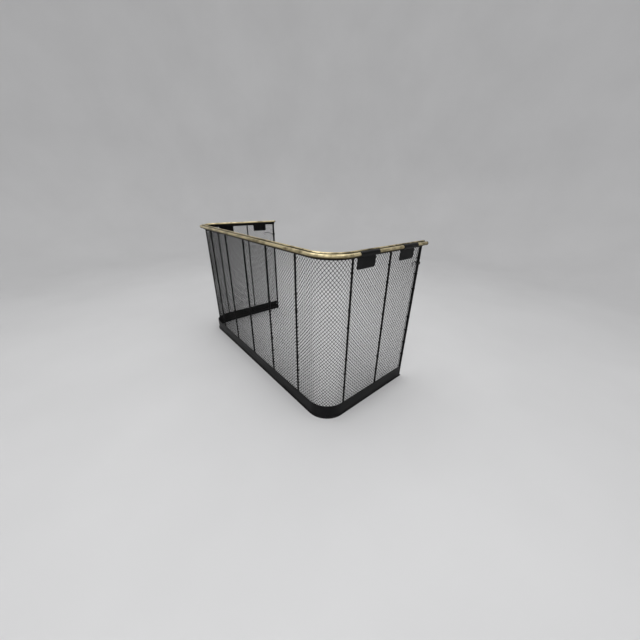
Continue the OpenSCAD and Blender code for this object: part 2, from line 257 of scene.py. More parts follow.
class Finish:
    """A material under construction, with short calls for the nodes that the finishes use."""

    def __init__(self, name, colour, roughness, metallic=0.0, specular=0.5):
        self.material = bpy.data.materials.new(name)
        self.material.use_nodes = True
        self.tree = self.material.node_tree
        self.shader = self.tree.nodes["Principled BSDF"]
        self.shader.inputs["Base Color"].default_value = (*colour, 1)
        self.shader.inputs["Roughness"].default_value = roughness
        self.shader.inputs["Metallic"].default_value = metallic
        self.shader.inputs["Specular IOR Level"].default_value = specular

    def node(self, kind, links=None, **settings):
        made = self.tree.nodes.new(kind)
        for name, value in settings.items():
            setattr(made, name, value)
        for socket, value in (links or {}).items():
            if isinstance(value, bpy.types.NodeSocket):
                self.tree.links.new(value, made.inputs[socket])
            else:
                made.inputs[socket].default_value = value
        return made

    def place(self, scale=(1, 1, 1)):
        """The piece's own coordinates, in metres."""
        source = self.node("ShaderNodeTexCoord").outputs["Object"]
        return self.node("ShaderNodeMapping", {"Vector": source, "Scale": scale}).outputs[0]

    def grain(self, scale):
        """The run along a swept piece and the place round its section, in metres."""
        source = self.node("ShaderNodeUVMap", uv_map=GRAIN).outputs[0]
        return self.node("ShaderNodeMapping", {"Vector": source, "Scale": scale}).outputs[0]

    def noise(self, vector, scale, detail=3.0, rough=0.55, warp=0.0):
        links = {"Vector": vector, "Scale": scale, "Detail": detail, "Roughness": rough}
        links["Distortion"] = warp
        return self.node("ShaderNodeTexNoise", links).outputs["Fac"]

    def band(self, value, low, high, to_low=0.0, to_high=1.0):
        """Maps a value's band to another, clamped at both ends."""
        links = {0: value, 1: low, 2: high, 3: to_low, 4: to_high}
        return self.node("ShaderNodeMapRange", links, clamp=True).outputs[0]

    def calc(self, operation, a, b):
        """One step of arithmetic, on values or on the outputs of nodes."""
        return self.node("ShaderNodeMath", {0: a, 1: b}, operation=operation).outputs[0]

    def blend(self, share, a, b):
        made = self.node("ShaderNodeMix", data_type="RGBA")
        for index, value in ((0, share), (6, a), (7, b)):
            if isinstance(value, bpy.types.NodeSocket):
                self.tree.links.new(value, made.inputs[index])
            elif index:
                made.inputs[index].default_value = (*value, 1)
            else:
                made.inputs[index].default_value = value
        return made.outputs[2]

    def facing_up(self):
        """How far the surface faces up, from -1 to 1."""
        normal = self.node("ShaderNodeNewGeometry").outputs["Normal"]
        return self.node("ShaderNodeSeparateXYZ", {0: normal}).outputs["Z"]

    def worn_edges(self, radius):
        """A share that grows towards the convex edges of a piece."""
        soft = self.node("ShaderNodeBevel", {"Radius": radius}, samples=4).outputs[0]
        sharp = self.node("ShaderNodeNewGeometry").outputs["Normal"]
        links = {0: soft, 1: sharp}
        both = self.node("ShaderNodeVectorMath", links, operation="DOT_PRODUCT").outputs["Value"]
        return self.band(both, 0.995, 0.80)

    def hollows(self, reach, ragged):
        """A share that grows where other surfaces lie close, as in the groove of the rails."""
        open_share = self.node("ShaderNodeAmbientOcclusion", {"Distance": reach}, samples=8)
        return self.band(self.calc("ADD", open_share.outputs["AO"], ragged), 0.99, 0.68)

    def marks_along_y(self, marks):
        """A share of 1 within each (place, half width) along Y, which fades out at its ends and
        towards the inner side of the returns."""
        place = self.node("ShaderNodeSeparateXYZ", {0: self.place()}).outputs
        share = None
        for middle, half in marks:
            away = self.calc("SUBTRACT", place["Y"], middle)
            away = self.node("ShaderNodeMath", {0: away}, operation="ABSOLUTE").outputs[0]
            mark = self.band(away, 0.75 * half, 1.1 * half, 1, 0)
            share = mark if share is None else self.calc("MAXIMUM", share, mark)
        normal = self.node("ShaderNodeNewGeometry").outputs["Normal"]
        across = self.node("ShaderNodeSeparateXYZ", {0: normal}).outputs["X"]
        outward = self.band(self.calc("MULTIPLY", across, place["X"]), -0.15, 0.2)
        return self.calc("MULTIPLY", share, outward)

    def set(self, socket, value):
        self.tree.links.new(value, self.shader.inputs[socket])

    def bump(self, height, distance, strength=1.0, under=None):
        links = {"Height": height, "Distance": distance, "Strength": strength}
        if under is not None:
            links["Normal"] = under
        made = self.node("ShaderNodeBump", links).outputs[0]
        self.set("Normal", made)
        return made


def stove_black(name, colour, upright=False):
    """Brushed black stove paint on iron: uneven gloss, brush marks, worn edges, a little rust.
    On upright rods the brush marks run up and down, and there are no edges to wear."""
    colour = Vector(colour)
    finish = Finish(name, colour, 0.45, specular=0.1)
    place = finish.place()
    cloud = finish.noise(place, 14, 4)
    shade = finish.blend(finish.band(cloud, 0.35, 0.68), colour * 0.6, colour * 1.5)
    stretch = (60, 60, 5) if upright else (9, 9, 110)
    brush = finish.noise(finish.place(stretch), 1.0, 4, 0.6)
    shade = finish.blend(finish.band(brush, 0.55, 0.8, 0, 0.35), shade, colour * 2.4)
    speck = finish.noise(place, 95, 6, 0.7)
    patch = finish.noise(place, 11, 3)
    rust = finish.calc("MULTIPLY", finish.band(speck, 0.60, 0.68), finish.band(patch, 0.5, 0.64))
    if not upright:
        worn = finish.calc(
            "MULTIPLY", finish.worn_edges(0.0012), finish.band(speck, 0.45, 0.62)
        )
        shade = finish.blend(finish.calc("MULTIPLY", worn, 0.4), shade, (0.07, 0.064, 0.058))
    dust = finish.band(finish.facing_up(), 0.75, 1.0, 0, 0.12)
    shade = finish.blend(dust, shade, (0.09, 0.085, 0.08))
    shade = finish.blend(finish.calc("MULTIPLY", rust, 0.6), shade, (0.045, 0.019, 0.009))
    finish.set("Base Color", shade)
    gloss = finish.band(brush, 0.3, 0.75, 0.3, 0.5)
    gloss = finish.calc("ADD", gloss, finish.calc("MULTIPLY", rust, 0.35))
    finish.set("Roughness", gloss)
    coarse = finish.bump(brush, 0.00025, 0.5)
    fine = finish.noise(place, 620, 3)
    finish.bump(fine, 0.00012, 0.6, under=coarse)
    return finish.material


def net_wire(name, colour):
    """Black painted wire, dulled by heat, with dust on it and rust in places."""
    colour = Vector(colour)
    finish = Finish(name, colour, 0.6, specular=0.06)
    place = finish.place()
    cloud = finish.noise(place, 7, 4)
    shade = finish.blend(finish.band(cloud, 0.38, 0.66), colour * 0.7, colour * 1.5)
    speck = finish.noise(place, 160, 4)
    rust = finish.calc("MULTIPLY", finish.band(speck, 0.58, 0.7), finish.band(cloud, 0.48, 0.62))
    shade = finish.blend(finish.calc("MULTIPLY", rust, 0.6), shade, (0.045, 0.021, 0.011))
    dust = finish.band(finish.facing_up(), 0.55, 1.0, 0, 0.06)
    finish.set("Base Color", finish.blend(dust, shade, (0.07, 0.066, 0.062)))
    finish.set("Roughness", finish.band(speck, 0.3, 0.7, 0.45, 0.75))
    finish.bump(finish.noise(place, 900, 2), 0.00008, 0.5)
    return finish.material


def hook_wire(name, colour):
    """Bent wire with its paint rubbed thin in spots."""
    colour = Vector(colour)
    finish = Finish(name, colour, 0.5, specular=0.2)
    place = finish.place()
    cloud = finish.noise(place, 60, 4)
    shade = finish.blend(finish.band(cloud, 0.45, 0.62), colour * 0.6, colour * 1.6)
    rub = finish.noise(place, 210, 5, 0.65)
    shade = finish.blend(finish.band(rub, 0.6, 0.72, 0, 0.4), shade, (0.1, 0.092, 0.08))
    finish.set("Base Color", shade)
    finish.set("Roughness", finish.band(rub, 0.35, 0.7, 0.55, 0.32))
    finish.bump(finish.noise(place, 700, 3), 0.0001, 0.5)
    return finish.material


def rail_brass(name, bright, tarnish_and_shade, plates):
    """Old polished brass, tarnished in streaks and pitted, with a painted highlight along the
    tops, painted shade on the sides, below and in the groove, and darker outside beside the
    plates."""
    finish = Finish(name, bright, 0.3, 1.0)
    place = finish.place()
    streak = finish.noise(finish.grain((7, 260, 1)), 1.0, 5, 0.6, 0.4)
    cloud = finish.noise(place, 20, 5, 0.6, 0.3)
    spots = finish.noise(place, 330, 4, 0.6)
    age_and_painted_light = finish.calc("MULTIPLY", finish.band(streak, 0.42, 0.68), 0.34)
    age_and_painted_light = finish.calc("ADD", age_and_painted_light, finish.band(cloud, 0.42, 0.62, 0, 0.55))
    # Painted highlight: surfaces that face up get less tarnish, so the tops show the bright
    # colour
    age_and_painted_light = finish.calc("MULTIPLY", age_and_painted_light, finish.band(finish.facing_up(), 0.6, 0.97, 1, 0.4))
    # Painted shade: surfaces that face down get more of the tarnish colour
    side = finish.band(finish.facing_up(), 0.3, -0.5, 0, 0.45)
    age_and_painted_light = finish.node(
        "ShaderNodeMath", {0: age_and_painted_light, 1: side}, operation="ADD", use_clamp=True
    ).outputs[0]
    shade = finish.blend(age_and_painted_light, bright, tarnish_and_shade)
    # The rails are darker on their outer side where the plates hang
    marks = finish.marks_along_y(plates)
    beside_plates = finish.calc("MULTIPLY", marks, finish.band(cloud, 0.3, 0.6, 0.4, 0.8))
    shade = finish.blend(beside_plates, shade, (0.1, 0.085, 0.045))
    pits = finish.band(spots, 0.64, 0.72, 0, 0.6)
    shade = finish.blend(pits, shade, (0.05, 0.036, 0.016))
    # Painted shade: near black in the groove between the rails, where other surfaces lie close,
    # and along their undersides
    edge = finish.calc("ADD", finish.facing_up(), finish.band(cloud, 0.35, 0.65, -0.12, 0.12))
    ragged = finish.band(cloud, 0.35, 0.65, 0.1, -0.2)
    painted_shade = finish.calc("MAXIMUM", finish.hollows(0.016, ragged), finish.band(edge, 0.02, -0.5))
    painted_shade = finish.calc("MULTIPLY", painted_shade, 0.93)
    shade = finish.blend(painted_shade, shade, (0.022, 0.016, 0.006))
    finish.set("Base Color", shade)
    rubbed = finish.noise(finish.grain((40, 900, 1)), 1.0, 4, 0.7)
    gloss = finish.band(rubbed, 0.3, 0.75, 0.2, 0.33)
    gloss = finish.calc("ADD", gloss, finish.calc("MULTIPLY", age_and_painted_light, 0.12))
    gloss = finish.calc("ADD", gloss, finish.calc("MULTIPLY", painted_shade, 0.3))
    finish.set("Roughness", gloss)
    dents = finish.bump(finish.noise(finish.grain((28, 90, 1)), 1.0, 2), 0.0006, 0.55)
    finish.bump(rubbed, 0.00006, 0.6, under=dents)
    return finish.material


def studio_floor(name, colour):
    """A plain pale floor with the faintest unevenness."""
    finish = Finish(name, colour, 0.85, specular=0.2)
    cloud = finish.noise(finish.place(), 1.3, 3)
    colour = Vector(colour)
    shade = finish.blend(finish.band(cloud, 0.3, 0.7), colour * 0.97, colour * 1.03)
    finish.set("Base Color", shade)
    return finish.material


def finish_of(maker, name, *choices):
    """The finish of that name, made once."""
    return bpy.data.materials.get(name) or maker(name, *choices)


def dress(material, *nodes):
    """Gives nodes of the frame a finish."""
    for node in nodes:
        piece = frame["nodes"][node]
        piece.data.materials.clear()
        piece.data.materials.append(material)


# Settings


class NetSettings(PropertyGroup):
    """The woven net and the wire that binds it."""

    diamond_width: FloatProperty(
        name="Diamond width",
        description="Width of one diamond of the net, from crossing to crossing",
        default=2 * STRAIGHT / FRONT_DIAMONDS,
        min=0.006,
        subtype="DISTANCE",
        precision=4,
    )
    diamond_height: FloatProperty(
        name="Diamond height",
        description="Height of one diamond of the net, from crossing to crossing",
        default=0.016,
        min=0.006,
        subtype="DISTANCE",
        precision=4,
    )
    wire: FloatProperty(
        name="Wire",
        description="Diameter of the net's wires",
        default=0.0019,
        min=0.0004,
        subtype="DISTANCE",
        precision=4,
    )
    selvage: FloatProperty(
        name="Selvage",
        description="Diameter of the wire that the net's edges are turned round",
        default=NET_T,
        min=0.001,
        subtype="DISTANCE",
        precision=4,
    )
    binding: FloatProperty(
        name="Binding wire",
        description="Diameter of the wire that ties the net to the uprights",
        default=0.0011,
        min=0.0005,
        subtype="DISTANCE",
        precision=4,
    )
    turns: IntProperty(
        name="Turns",
        description="Turns of binding wire in each tie",
        default=3,
        min=1,
        max=5,
    )
    colour: FloatVectorProperty(
        name="Wire colour",
        description="Paint of the net and its ties",
        default=(0.0055, 0.0055, 0.0058),
        subtype="COLOR",
        min=0,
        max=1,
    )


class RailSettings(PropertyGroup):
    """The two brass rails."""

    wall: FloatProperty(
        name="Wall",
        description="Thickness of the brass",
        default=0.001,
        min=0.0003,
        subtype="DISTANCE",
        precision=4,
    )
    waver: FloatProperty(
        name="Waver",
        description="How far the hand-drawn tubes sink below their true round",
        default=0.00022,
        min=0,
        subtype="DISTANCE",
        precision=5,
    )
    # The bright colour also shows as the painted highlight along the tops of the rails
    bright: FloatVectorProperty(
        name="Bright brass",
        description="Colour of the rubbed brass",
        default=(0.93, 0.8, 0.49),
        subtype="COLOR",
        min=0,
        max=1,
    )
    # The tarnish colour also serves as painted shade on the sides of the rails that face down
    tarnish_and_shade: FloatVectorProperty(
        name="Tarnish",
        description="Colour of the dull brass, in streaks and on the undersides",
        default=(0.4, 0.325, 0.18),
        subtype="COLOR",
        min=0,
        max=1,
    )


class IronSettings(PropertyGroup):
    """The ironwork: bars, rods, skirt, plates and hooks."""

    sheet: FloatProperty(
        name="Sheet",
        description="Thickness of the skirt and the hinged plates",
        default=0.0015,
        min=0.0005,
        subtype="DISTANCE",
        precision=4,
    )
    plate_length: FloatProperty(
        name="Plate length",
        description="From a plate's hinge axis to its lower edge",
        default=0.054,
        min=0.02,
        subtype="DISTANCE",
    )
    plate_corner: FloatProperty(
        name="Plate corner",
        description="Radius of a plate's lower corners",
        default=0.008,
        min=0.001,
        subtype="DISTANCE",
    )
    plate_lean: FloatProperty(
        name="Plate lean",
        description="Angle by which a plate leans in as it hangs",
        default=math.radians(2),
        subtype="ANGLE",
    )
    knuckle: FloatProperty(
        name="Knuckle",
        description="Inner radius of the rolled knuckles on the outer rail",
        default=0.00758,
        min=0.004,
        subtype="DISTANCE",
        precision=5,
    )
    colour: FloatVectorProperty(
        name="Stove black",
        description="Paint of the ironwork",
        default=(0.0055, 0.0055, 0.006),
        subtype="COLOR",
        min=0,
        max=1,
    )
    hook_colour: FloatVectorProperty(
        name="Hook wire",
        description="Worn paint of the hooks",
        default=(0.009, 0.0088, 0.0085),
        subtype="COLOR",
        min=0,
        max=1,
    )


class StudioSettings(PropertyGroup):
    """Floor, lamps and camera."""

    floor: FloatVectorProperty(
        name="Floor",
        description="Colour of the floor and the backdrop",
        default=(0.68, 0.68, 0.685),
        subtype="COLOR",
        min=0,
        max=1,
    )
    reach: FloatProperty(
        name="Flat floor",
        description="Radius of the flat floor, beyond which it turns up into the backdrop",
        default=3.2,
        min=1.5,
        subtype="DISTANCE",
    )
    top_lamp: FloatProperty(
        name="Top lamp",
        description="Power of the large lamp overhead",
        default=36.0,
        min=0,
        subtype="POWER",
    )
    side_lamp: FloatProperty(
        name="Side lamp",
        description="Power of the lamp at the front right",
        default=20.0,
        min=0,
        subtype="POWER",
    )
    sky: FloatProperty(
        name="Sky",
        description="Strength of the even light from all round",
        default=0.72,
        min=0,
    )
    lens: FloatProperty(
        name="Lens",
        description="Focal length of the camera, in millimetres on a 36 mm wide frame",
        default=14.51,
        min=5,
    )
    stand: FloatVectorProperty(
        name="Camera",
        description="Where the camera stands",
        default=(1.1632, -0.7818, 0.8354),
        subtype="TRANSLATION",
    )
    heading: FloatProperty(
        name="Heading",
        description="Turn of the camera to the left of the guard's depth",
        default=math.radians(49.264),
        subtype="ANGLE",
    )
    dip: FloatProperty(
        name="Dip",
        description="How far the camera looks down",
        default=math.radians(25.19),
        subtype="ANGLE",
    )
    roll: FloatProperty(
        name="Roll",
        description="Roll of the camera about its line of sight",
        default=math.radians(1.004),
        subtype="ANGLE",
    )


# Net

# The side nets are notched round the hooks' eyes: how far in from the end post's middle, and how
# far above and below the collars
NOTCH_DEPTH = 0.0118
NOTCH_SPARE = 0.001
# Radius of the wire down the free ends of the net
EDGE_WIRE_R = 0.0009


def span_of_wire(family, number, diamond, box):
    """Where one wire enters and leaves a stretch of the net, as heights from its middle.
    Family 1 rises along the run and family -1 falls. A diamond is (width, height), and a box
    is (first run, last run, lowest, highest)."""
    first, last, low, high = box
    width, height = diamond
    edges = sorted(family * (run - number * width) * height / width for run in (first, last))
    return max(low, edges[0]), min(high, edges[1])


def weave_wire(stock, family, number, diamond, radius, span):
    """One wire of the net, over and under the wires that it crosses."""
    low, high = span
    width, height = diamond
    # A wire crosses the other family at every half diamond of height
    half = height / 2
    first = math.ceil(low / half)
    last = math.floor(high / half)
    stops = [low]
    stops += [k * half for k in range(first, last + 1) if low < k * half < high]
    stops += [high]
    rings = []
    for stop in stops:
        run = family * stop * width / height + number * width
        step = stop / half
        nearest = round(step)
        # The wire lies wholly over or under at a crossing, and part of the way between two
        if abs(step - nearest) < 1e-6:
            over = math.cos(math.pi * nearest)
        else:
            below = math.floor(step)
            over = math.cos(math.pi * below) * (1 - 2 * (step - below))
        centre, out = NET.at(run)
        lift = family * radius * over
        at = centre + lift * out + Vector((0, 0, NET_MID + stop))
        ahead = (family * width * along(out) + Vector((0, 0, height))).normalized()
        across = ahead.cross(out)
        rings.append(stock.ring([
            at + radius * out, at + radius * across, at - radius * out, at - radius * across
        ]))
    stock.skin(rings, 4)


def without(span, gap):
    """A span of heights with a gap taken out of it."""
    if gap is None or gap[0] >= gap[1]:
        return [span]
    low, high = gap
    kept = [(span[0], min(span[1], low)), (max(span[0], high), span[1])]
    return [k for k in kept if k[1] > k[0]]


def weave(stock, settings, first, last, notch=None):
    """The net between two runs, with its edges and a notch that clears a hook's eye."""
    diamond = settings.diamond_width, settings.diamond_height
    edge = settings.selvage / 2
    box = (first, last, NET_LOW + edge - NET_MID, NET_HIGH - edge - NET_MID)
    # Wires that slant in from beyond the ends of the stretch count too
    reach = max(abs(first), abs(last)) + NET_HIGH
    count = math.ceil(reach / diamond[0])
    for family in (1, -1):
        for number in range(-count, count + 1):
            span = span_of_wire(family, number, diamond, box)
            if span[1] - span[0] < settings.wire:
                continue
            gap = None
            if notch:
                runs = notch[0], notch[1], notch[2] - NET_MID, notch[3] - NET_MID
                gap = span_of_wire(family, number, diamond, runs)
            for kept in without(span, gap):
                weave_wire(stock, family, number, diamond, settings.wire / 2, kept)
    for z in (NET_LOW + edge, NET_HIGH - edge):
        path = []
        for run in NET.steps(first, last, straight_step=0.05, corner_step=0.006):
            path.append(NET.at(run)[0] + Vector((0, 0, z)))
        tube(stock, path, edge, sides=8)


def edge_path(side, run, notch):
    """The wire down the free end of the net, which turns in round the notch."""
    low, high = NET_LOW + NET_T / 2, NET_HIGH - NET_T / 2
    longest_step = 0.03
    inner, bottom, top = notch
    corners = [(run, low), (run, bottom), (inner, bottom), (inner, top), (run, top), (run, high)]
    path = []
    for (run_a, z_a), (run_b, z_b) in zip(corners, corners[1:]):
        steps = max(1, math.ceil(math.dist((run_a, z_a), (run_b, z_b)) / longest_step))
        for i in range(steps):
            share = i / steps
            at = NET.at(side * (run_a + (run_b - run_a) * share))[0]
            path.append(at + Vector((0, 0, z_a + (z_b - z_a) * share)))
    path.append(NET.at(side * run)[0] + Vector((0, 0, high)))
    return path


class FIREGUARD_OT_weave_net(Operator):
    """Weave the net of crimped wire, in the five stretches that the frame has"""

    bl_idname = "fireguard.weave_net"
    bl_label = "Weave Net"

    def execute(self, context):
        settings = context.scene.fireguard_net
        finish = finish_of(net_wire, "black_net_wire", settings.colour)
        corner = STRAIGHT + NET.arc
        end = NET.run_of(SIDE_NET[1].y) - settings.selvage / 2
        hook = next(j for j in frame["joints"] if j["child"] == "right_hook")
        eye_z = hook["pos_m"][2]
        reach = HOOK_COLLARS[1].z - eye_z + NOTCH_SPARE
        notch_in = NET.run_of(END_Y) - NOTCH_DEPTH
        # The notch is open at the net's end, so it runs on past it
        past_end = end + 0.01
        stretches = {
            "mesh_front": (-STRAIGHT, STRAIGHT),
            "mesh_corner_left": (-corner, -STRAIGHT),
            "mesh_corner_right": (STRAIGHT, corner),
            "mesh_left": (-end, -corner),
            "mesh_right": (corner, end),
        }
        for node, (first, last) in stretches.items():
            stock = Stock()
            notch = None
            if node in ("mesh_left", "mesh_right"):
                side = 1 if node == "mesh_right" else -1
                runs = sorted((side * notch_in, side * past_end))
                notch = (*runs, eye_z - reach, eye_z + reach)
                loop = (notch_in, eye_z - reach, eye_z + reach)
                tube(stock, edge_path(side, end, loop), EDGE_WIRE_R, sides=6)
            weave(stock, settings, first, last, notch)
            name = node.replace("mesh", "woven_net")
            stock.piece(name, finish, "mesh_wire", "guard", [node], smooth=180)
        return {"FINISHED"}


# Ties

# Radius of the net's wires that a tie takes in, and the length of its loose tail
BUNDLE_R = 0.0013
TAIL = 0.0022
# From the side net's end to the middle of the wires that the ties of an end post take in
BUNDLE_IN = 0.0012
# Two places closer than this are the same
CLOSE = 1e-3


def wind_tie(stock, rng, centre, out, upright_r, hold, settings):
    """Winds one tie round an upright at centre and the net's wire at hold, in plan."""
    radius = settings.binding / 2
    near = upright_r + radius
    far = BUNDLE_R + radius
    steps = 18
    height = settings.turns * settings.binding
    start = rng.uniform(0.85, 1.1) * math.pi
    side = along(out)
    path = []
    for i in range(settings.turns * steps + steps // 3):
        turn = start + 2 * math.pi * i / steps
        toward = math.cos(turn) * out + math.sin(turn) * side
        # The wire lies on whichever of the two it meets first from this direction
        on_net = far + hold.dot(toward)
        base, r = (hold, far) if on_net > near else (Vector(), near)
        rise = -height / 2 + radius + (height - radius) * i / (settings.turns * steps)
        path.append(centre + base + r * toward + Vector((0, 0, rise)))
    droop = Vector((0, 0, rng.uniform(-0.002, 0.001)))
    path.append(path[-1] + hold.normalized() * TAIL + droop)
    tube(stock, path, radius, sides=5)


class FIREGUARD_OT_bind_net(Operator):
    """Bind the net to the uprights with a few turns of soft wire"""

    bl_idname = "fireguard.bind_net"
    bl_label = "Bind Net"

    def execute(self, context):
        settings = context.scene.fireguard_net
        finish = finish_of(net_wire, "black_net_wire", settings.colour)
        rng = random.Random(5)
        stock = Stock()
        for centre, out, radius, hold in ties_of_frame():
            wind_tie(stock, rng, centre, out, radius, hold, settings)
        stock.piece("binding_wire", finish, "mesh_wire", "guard", ["mesh_ties"], smooth=180)
        return {"FINISHED"}


def islands(node):
    """The middle of each separate solid of a node, from its own vertices."""
    mesh = frame["nodes"][node].data
    parent = list(range(len(mesh.vertices)))

    def root(i):
        while parent[i] != i:
            parent[i] = parent[parent[i]]
            i = parent[i]
        return i

    seen = {}
    for v in mesh.vertices:
        key = tuple(round(c, 6) for c in v.co)
        parent[v.index] = seen.setdefault(key, v.index)
    for e in mesh.edges:
        a, b = root(e.vertices[0]), root(e.vertices[1])
        parent[a] = b
    groups = {}
    for v in mesh.vertices:
        groups.setdefault(root(v.index), []).append(v.co)
    middles = []
    for points in groups.values():
        low = Vector(map(min, *points))
        high = Vector(map(max, *points))
        middles.append((low + high) / 2)
    return sorted(middles, key=lambda p: (round(p.x, 4), round(p.y, 4), p.z))


def ties_of_frame():
    """Centre of the upright, direction out, its radius and the net's place, for each tie."""
    uprights = []
    for name in frame["nodes"]:
        if "upright" in name or "end_post" in name:
            low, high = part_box(name)
            uprights.append((low + high) / 2)
    for middle in islands("mesh_ties"):
        centre = min(uprights, key=lambda u: (u.xy - middle.xy).length)
        centre = Vector((centre.x, centre.y, middle.z))
        at_end = abs(centre.y - END_Y) < CLOSE
        if abs(centre.y - FRONT_Y) < CLOSE:
            out = Vector((0, -1, 0))
        elif centre.y < CORNER_Y:
            out = Vector((centre.x - math.copysign(STRAIGHT, centre.x), centre.y - CORNER_Y, 0))
            out.normalize()
        else:
            out = Vector((math.copysign(1, centre.x), 0, 0))
        hold = out * NET_OUT
        if at_end:
            hold = hold - Vector((0, END_Y - SIDE_NET[1].y + BUNDLE_IN, 0))
        yield centre, out, POST_R if at_end else ROD_R, hold


# Rails

# Steps of a rail along the straights and round the corners
RAIL_STEPS = (0.008, 0.004)


def waver_at(seed, run, turn, depth):
    """How far a hand-drawn tube sinks below its true round at a place."""
    spot = Vector((run * 9 + seed, math.cos(turn) * 0.8, math.sin(turn) * 0.8))
    return depth * (0.5 + 0.5 * noise.noise(spot))


class FIREGUARD_OT_brass_rails(Operator):
    """Form the split upper rail and the outer rail from thin brass tube"""

    bl_idname = "fireguard.brass_rails"
    bl_label = "Form Brass Rails"

    def execute(self, context):
        settings = context.scene.fireguard_rails
        plates = []
        for node in ("plate_right_front", "plate_right_rear"):
            low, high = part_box(node)
            plates.append(((low.y + high.y) / 2, (high.y - low.y) / 2))
        finish = finish_of(rail_brass, "aged_brass", settings.bright, settings.tarnish_and_shade, plates)
        self.split_upper_rail(settings, finish)
        self.round_outer_rail(settings, finish)
        return {"FINISHED"}

    def split_upper_rail(self, settings, finish):
        """The tube on the top bar's edge, slit along its underside."""
        upper_r = UPPER_RAIL[1].x - SIDE_X
        upper_z = UPPER_RAIL[1].z - upper_r
        inner_r = upper_r - settings.wall
        slit = math.asin(BAR_T / 2 / upper_r)
        slit_in = math.asin(BAR_T / 2 / inner_r)
        count = 40
        # The inside is never seen, so it has half as many points
        start = 3 * math.pi / 2 - slit_in
        inside = arc((0.0, upper_z), inner_r, start, 2 * slit_in - 2 * math.pi, count // 2)

        def split_tube(run):
            shape = []
            for i in range(count + 1):
                turn = -math.pi / 2 + slit + (2 * math.pi - 2 * slit) * i / count
                r = upper_r - waver_at(0, run, turn, settings.waver)
                shape.append((r * math.cos(turn), upper_z + r * math.sin(turn)))
            return shape + inside

        stock = sweep(UPPER_RAIL, split_tube, *RAIL_STEPS)
        stock.piece("upper_brass_rail", finish, "rail_brass", "guard", ["upper_rail"], smooth=50)

    def round_outer_rail(self, settings, finish):
        """The round tube outside the upper rail."""
        outer_z = (OUTER_RAIL[0].z + OUTER_RAIL[1].z) / 2
        outer_r = (OUTER_RAIL[1].z - OUTER_RAIL[0].z) / 2
        outer_off = OUTER_RAIL[1].x - SIDE_X - outer_r
        end = CENTRE.run_of(OUTER_RAIL[1].y)
        sides = 44
        turns = [math.pi + 2 * math.pi * i / sides for i in range(sides)]

        def circle(run, radius_at):
            """Points round the rail's axis at a run."""
            centre, out = CENTRE.at(run)
            centre = centre + outer_off * out + Vector((0, 0, outer_z))
            return [
                centre + radius_at(t) * (math.cos(t) * out + Vector((0, 0, math.sin(t))))
                for t in turns
            ]

        stock = Stock()
        rings = []
        for run in CENTRE.steps(-end, end, *RAIL_STEPS):
            points = circle(run, lambda t: outer_r - waver_at(7, run, t, settings.waver))
            rings.append(stock.ring(points, [(run, outer_r * (t - math.pi)) for t in turns]))
        # The rim of each end is as wide as the brass is thick
        rims = [stock.ring(circle(run, lambda t: outer_r - settings.wall)) for run in (-end, end)]
        stock.skin([rims[0], *rings, rims[1]], sides)
        stock.piece("outer_brass_rail", finish, "rail_brass", "guard", ["outer_rail"], smooth=50)


# Ironwork

# Steps of the skirt and its bead along the straights and round the corners
SKIRT_STEPS = (0.02, 0.005)


class FIREGUARD_OT_skirt(Operator):
    """Bend the sheet skirt and its half-round foot bead round the base"""

    bl_idname = "fireguard.skirt"
    bl_label = "Bend Skirt"

    def execute(self, context):
        settings = context.scene.fireguard_iron
        finish = finish_of(stove_black, "stove_black_sheet", settings.colour)
        inner = SKIRT[1].x - SIDE_X - settings.sheet
        top = SKIRT[1].z
        round_r = settings.sheet / 2
        # The sheet's lower edge is chamfered by this much
        foot = 0.0005
        # The sheet was bent by hand, so it is hollow here and there by up to this much
        most_bow = 0.00035
        # Over the round top edge, and down the sheet's back
        back = arc((inner + round_r, top - round_r), round_r, 0.0, math.pi, 6)[1:]
        back += [(inner, 0.0), (inner + settings.sheet - foot, 0.0)]

        def sheet(run):
            shape = []
            bow = most_bow * noise.noise(Vector((run * 5, 3.1, 0)))
            for i in range(7):
                share = i / 6
                spread = abs(bow * math.sin(math.pi * share))
                z = foot + (top - round_r - foot) * share
                shape.append((inner + settings.sheet - spread, z))
            return shape + back

        stock = sweep(SKIRT, sheet, *SKIRT_STEPS)
        stock.piece("sheet_skirt", finish, "black_sheet", "guard", ["skirt"])

        bead_in = SKIRT[1].x - SIDE_X
        bead_w = FOOT_BEAD[1].x - SIDE_X - bead_in
        bead_out = bead_in + bead_w
        bead_h = FOOT_BEAD[1].z
        chamfer = 0.0004
        bead = [(bead_in, 0.0), (bead_out - chamfer, 0.0), (bead_out, chamfer)]
        bead += arc((bead_in, bead_h - bead_w), bead_w, 0.0, math.pi / 2, 8)
        bar = finish_of(stove_black, "stove_black_bar", settings.colour)
        stock = sweep(FOOT_BEAD, lambda run: bead, *SKIRT_STEPS)
        stock.piece("half_round_bead", bar, "black_iron", "guard", ["foot_bead"])
        return {"FINISHED"}


class FIREGUARD_OT_ironwork(Operator):
    """Paint the bars, uprights, plugs, studs, rivets and collars of the frame"""

    bl_idname = "fireguard.ironwork"
    bl_label = "Paint Ironwork"

    def execute(self, context):
        colour = context.scene.fireguard_iron.colour
        bar = finish_of(stove_black, "stove_black_bar", colour)
        rod = finish_of(stove_black, "stove_black_rod", colour, True)
        rods = [n for n in frame["nodes"] if "upright" in n or "end_post" in n]
        plugs = [n for n in frame["nodes"] if n.startswith("plug_")]
        dress(rod, *rods)
        dress(bar, "top_bar", "base_bar", "rail_studs", "skirt_rivets", "hook_collars", *plugs)
        return {"FINISHED"}


